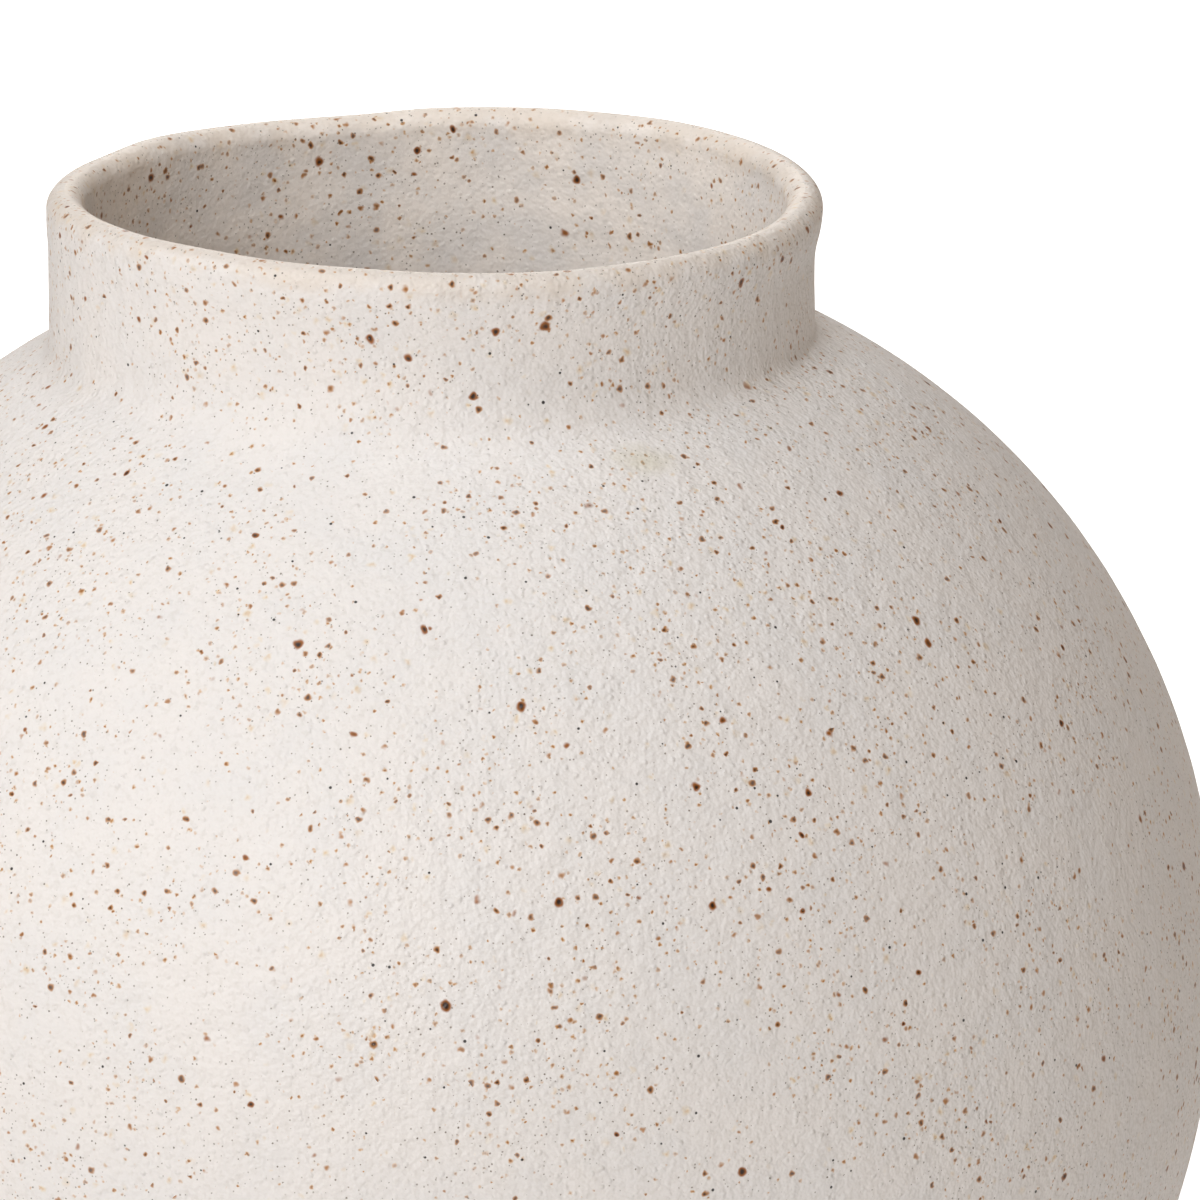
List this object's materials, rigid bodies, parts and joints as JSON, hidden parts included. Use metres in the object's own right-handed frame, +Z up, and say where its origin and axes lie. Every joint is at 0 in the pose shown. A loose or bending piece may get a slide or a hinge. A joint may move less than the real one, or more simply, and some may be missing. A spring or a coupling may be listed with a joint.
{
  "type": "stoneware vase",
  "caption": "Round stoneware vase with a short thrown collar and a wide mouth, in matt speckled glaze on a bare turned foot ring.",
  "frame": {"origin": "centre of the base, on the surface that the vase stands on", "axes": "+Z up along the vase's own axis of revolution. The vase is round, so X and Y are free; -Y faces the viewer"},
  "size_m": [0.2, 0.2, 0.202],
  "materials": {
    "clay": "bare fired stoneware, toasted and lightly gritty",
    "outer_glaze": "matt warm white with iron specks and a fine orange peel",
    "liner_glaze": "matt warm white with iron specks and soft throwing rings",
    "felt": "pressed wool felt"
  },
  "bodies": {
    "root": {"lower_bowl": "clay", "upper_bowl": "clay", "neck_collar": "clay", "neck_coil": "clay", "foot_ring": "clay", "outer_glaze": "outer_glaze", "liner_glaze": "liner_glaze", "felt_pad_1": "felt", "felt_pad_2": "felt", "felt_pad_3": "felt", "felt_pad_4": "felt"}
  },
  "joints": []
}
